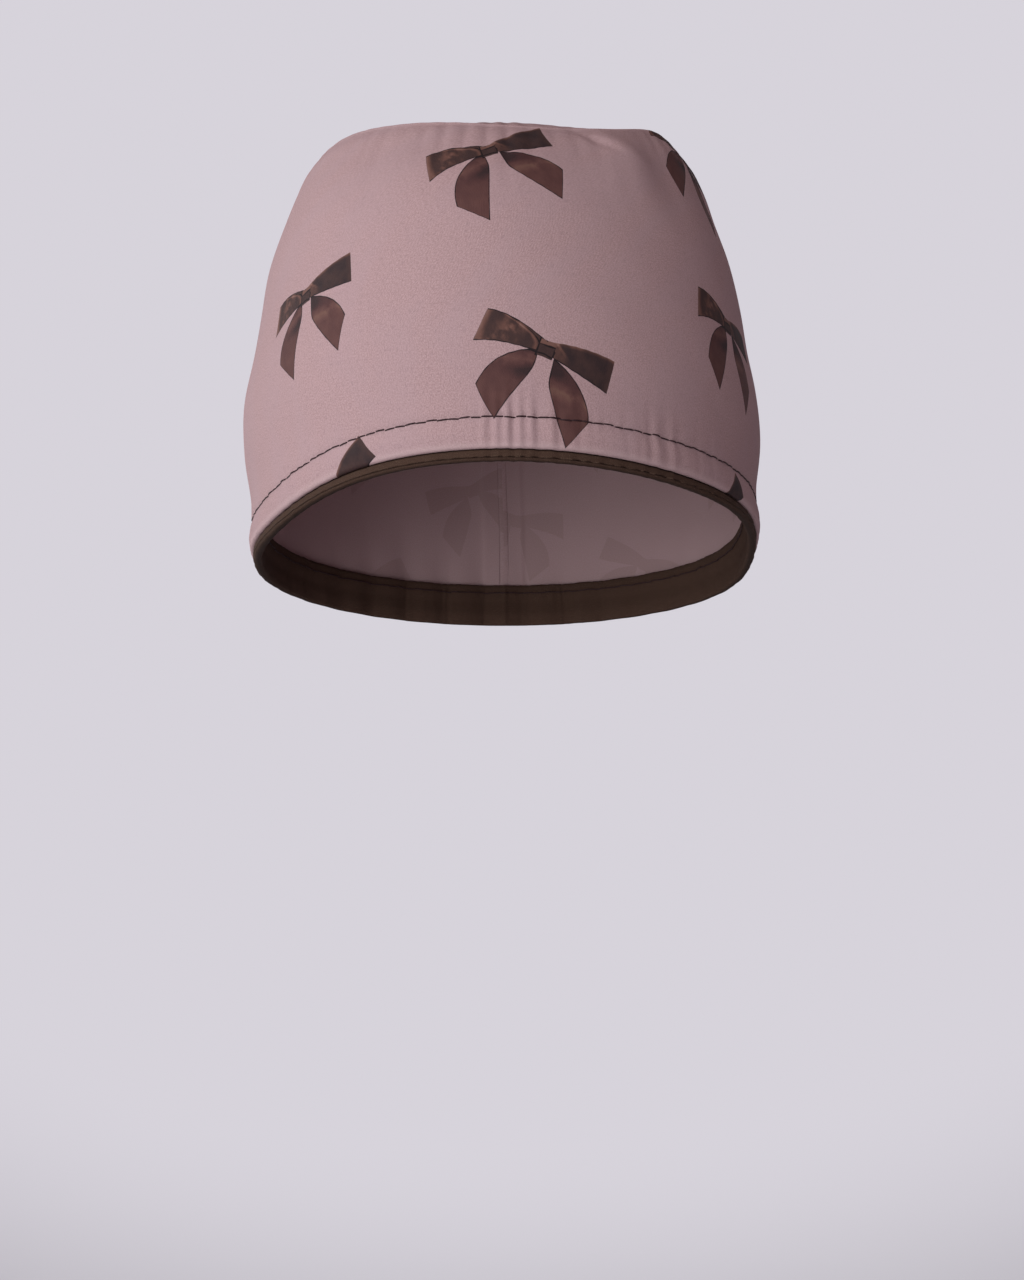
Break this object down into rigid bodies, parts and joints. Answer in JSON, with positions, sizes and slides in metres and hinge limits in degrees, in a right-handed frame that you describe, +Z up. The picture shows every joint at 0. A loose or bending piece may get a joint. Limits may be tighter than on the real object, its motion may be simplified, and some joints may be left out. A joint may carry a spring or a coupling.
{
  "type": "scrub cap",
  "caption": "Soft printed cotton scrub cap: a tall side band with a topstitched hem, a gathered oval crown and a narrow dark binding at the rim.",
  "frame": {"origin": "middle of the head opening, level with the hem beside the ears, where the cap sits on a head", "axes": "+Z up through the crown, -Y towards the front of the cap, +X towards the wearer's left"},
  "size_m": [0.1681, 0.2007, 0.1497],
  "materials": {
    "printed_cotton": "matt mauve cotton with a scattered dark ribbon bow print, fine plain weave",
    "binding_cotton": "matt dark brown cotton, fine plain weave",
    "stitch_thread": "dark maroon sewing thread with a slight sheen"
  },
  "bodies": {
    "root": {"side_band": "printed_cotton", "crown_top": "printed_cotton", "rim_binding": "binding_cotton"}
  },
  "joints": []
}
